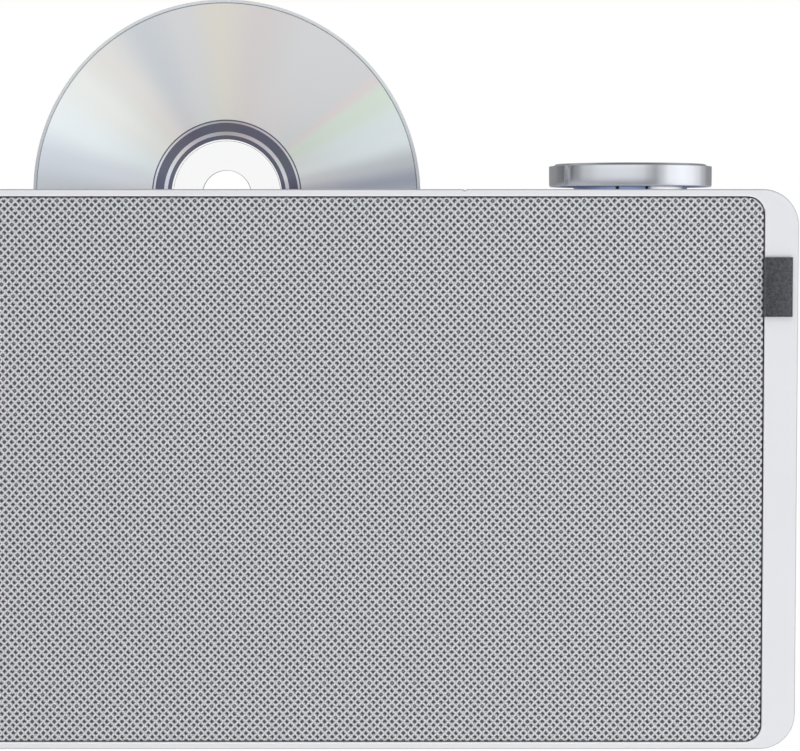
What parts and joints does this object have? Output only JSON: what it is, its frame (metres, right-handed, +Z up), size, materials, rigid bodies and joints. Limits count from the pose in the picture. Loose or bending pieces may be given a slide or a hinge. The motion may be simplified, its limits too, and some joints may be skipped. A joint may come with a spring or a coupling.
{
  "type": "slot-loading disc player",
  "caption": "Wide wall-hung disc player with a cloth loudspeaker front, a disc standing in the slot in its top, and a flat metal volume knob.",
  "frame": {"origin": "centre of the wall bracket's screw pattern, on the wall plane", "axes": "+X to the right seen from the front, -Y out of the front, +Z up"},
  "size_m": [0.466, 0.0949, 0.2239],
  "materials": {
    "housing_paint": "satin",
    "panel_paint": "satin",
    "felt": "felt",
    "blue_steel": "satin",
    "dark_board": "matte",
    "black_plastic": "matte",
    "grille_net": "net",
    "tag_cloth": "woven",
    "cover_plastic": "textured",
    "screw_steel": "zinc",
    "pin_nickel": "polished",
    "rubber_black": "matte",
    "board_green": "solder mask",
    "heatsink_black": "anodised",
    "white_plastic": "matte",
    "chassis_steel": "zinc",
    "basket_steel": "satin",
    "cone_paper": "pressed pulp",
    "disc_mirror": "silvered",
    "brass_gear": "plain",
    "traverse_plastic": "matte",
    "lens_glass": "clear",
    "knob_aluminium": "brushed",
    "bracket_steel": "zinc"
  },
  "bodies": {
    "bracket": {"wall_bracket": "bracket_steel"},
    "case": {"housing_band": "housing_paint", "slot_panel": "panel_paint", "slot_felts": "felt", "knob_collar": "blue_steel", "baffle": "dark_board", "grille_frame": "black_plastic", "grille_cloth": "grille_net", "side_tag": "tag_cloth", "rear_cover": "cover_plastic", "rear_screws": "screw_steel", "power_inlet": "black_plastic", "inlet_pins": "pin_nickel", "aux_jack": "pin_nickel", "wall_bumpers": "rubber_black", "main_board": "board_green", "power_supply": "board_green", "amp_heatsink": "heatsink_black", "key_board": "board_green", "encoder_body": "black_plastic", "drive_chassis": "chassis_steel", "chassis_grommets": "rubber_black", "chassis_screws": "screw_steel", "disc_guide": "white_plastic", "loading_motor": "chassis_steel", "idler_stud": "pin_nickel", "clamp_pin": "pin_nickel", "port_tube": "black_plastic", "speaker_frame_left": "basket_steel", "speaker_frame_right": "basket_steel", "speaker_magnet_left": "chassis_steel", "speaker_magnet_right": "chassis_steel", "surround_left": "rubber_black", "surround_right": "rubber_black"},
    "disc": {"disc": "disc_mirror"},
    "roller": {"loading_roller": "rubber_black", "roller_shaft": "pin_nickel", "roller_gear": "white_plastic"},
    "idler": {"idler_gear": "white_plastic"},
    "pinion": {"motor_pinion": "brass_gear"},
    "traverse": {"traverse_frame": "traverse_plastic", "spindle_motor": "chassis_steel", "sled_rods": "pin_nickel", "sled_motor": "chassis_steel"},
    "platter": {"turntable": "black_plastic"},
    "sled": {"laser_sled": "black_plastic", "lens": "lens_glass"},
    "leadscrew": {"lead_screw": "pin_nickel"},
    "clamp": {"clamp_arm": "chassis_steel"},
    "puck": {"clamp_puck": "black_plastic"},
    "encoder_press": {"encoder_sleeve": "white_plastic"},
    "volume_knob": {"encoder_shaft": "pin_nickel", "knob_core": "black_plastic", "knob": "knob_aluminium"},
    "button_power": {"key_power": "panel_paint"},
    "button_source": {"key_source": "panel_paint"},
    "button_play": {"key_play": "panel_paint"},
    "button_eject": {"key_eject": "panel_paint"},
    "left_cone": {"cone_left": "cone_paper"},
    "right_cone": {"cone_right": "cone_paper"}
  },
  "joints": [
    {"name": "case_lift", "type": "slide", "parent": "bracket", "child": "case", "axis": [0, 0, 1], "range_m": [0, 0.0065]},
    {"name": "disc_slide", "type": "slide", "parent": "case", "child": "disc", "axis": [0, 0, 1], "range_m": [-0.086, 0.056]},
    {"name": "roller_turn", "type": "hinge", "parent": "case", "child": "roller", "pos_m": [0.0605, -0.0456, 0.029], "axis": [1, 0, 0], "continuous": true},
    {"name": "idler_turn", "type": "hinge", "parent": "case", "child": "idler", "pos_m": [-0.008, -0.0456, 0.0129], "axis": [1, 0, 0], "continuous": true},
    {"name": "pinion_turn", "type": "hinge", "parent": "case", "child": "pinion", "pos_m": [-0.008, -0.0456, -0.0018], "axis": [1, 0, 0], "continuous": true},
    {"name": "traverse_lift", "type": "slide", "parent": "case", "child": "traverse", "axis": [0, -1, 0], "range_m": [0, 0.0021]},
    {"name": "platter_turn", "type": "hinge", "parent": "traverse", "child": "platter", "pos_m": [0.0605, -0.047, -0.0421], "axis": [0, -1, 0], "continuous": true},
    {"name": "sled_slide", "type": "slide", "parent": "traverse", "child": "sled", "axis": [-1, 0, 0], "range_m": [0, 0.035]},
    {"name": "screw_turn", "type": "hinge", "parent": "traverse", "child": "leadscrew", "pos_m": [0.0305, -0.0396, -0.0691], "axis": [1, 0, 0], "continuous": true},
    {"name": "clamp_swing", "type": "hinge", "parent": "case", "child": "clamp", "pos_m": [0.0605, -0.0566, -0.1041], "axis": [-1, 0, 0], "range_deg": [0, 2]},
    {"name": "puck_turn", "type": "hinge", "parent": "clamp", "child": "puck", "pos_m": [0.0605, -0.05577, -0.04203], "axis": [0, -0.9994, -0.0349], "continuous": true},
    {"name": "knob_press", "type": "slide", "parent": "case", "child": "encoder_press", "axis": [0, 0, -1], "range_m": [0, 0.0005], "stiffness_N_per_m": 4000, "springref_m": -0.0005},
    {"name": "knob_turn", "type": "hinge", "parent": "encoder_press", "child": "volume_knob", "pos_m": [0.1856, -0.051, 0.045], "axis": [0, 0, 1], "continuous": true},
    {"name": "key_power_press", "type": "slide", "parent": "case", "child": "button_power", "axis": [0, 0, -1], "range_m": [0, 0.0006], "stiffness_N_per_m": 1500, "springref_m": -0.0004},
    {"name": "key_source_press", "type": "slide", "parent": "case", "child": "button_source", "axis": [0, 0, -1], "range_m": [0, 0.0006], "stiffness_N_per_m": 1500, "springref_m": -0.0004},
    {"name": "key_play_press", "type": "slide", "parent": "case", "child": "button_play", "axis": [0, 0, -1], "range_m": [0, 0.0006], "stiffness_N_per_m": 1500, "springref_m": -0.0004},
    {"name": "key_eject_press", "type": "slide", "parent": "case", "child": "button_eject", "axis": [0, 0, -1], "range_m": [0, 0.0006], "stiffness_N_per_m": 1500, "springref_m": -0.0004},
    {"name": "left_cone_move", "type": "slide", "parent": "case", "child": "left_cone", "axis": [0, -1, 0], "range_m": [-0.0015, 0.0015], "stiffness_N_per_m": 1500, "deforming": ["surround_left"]},
    {"name": "right_cone_move", "type": "slide", "parent": "case", "child": "right_cone", "axis": [0, -1, 0], "range_m": [-0.0015, 0.0015], "stiffness_N_per_m": 1500, "deforming": ["surround_right"]}
  ],
  "couplings": [
    {"joint": "roller_turn", "follows": "disc_slide", "rad_per_m": -222.22},
    {"joint": "idler_turn", "follows": "disc_slide", "rad_per_m": 170.94},
    {"joint": "pinion_turn", "follows": "disc_slide", "rad_per_m": -277.78},
    {"joint": "screw_turn", "follows": "sled_slide", "rad_per_m": 2094.4},
    {"joint": "clamp_swing", "follows": "traverse_lift", "rad_per_m": 16.62},
    {"joint": "puck_turn", "follows": "platter_turn", "ratio": 1}
  ]
}
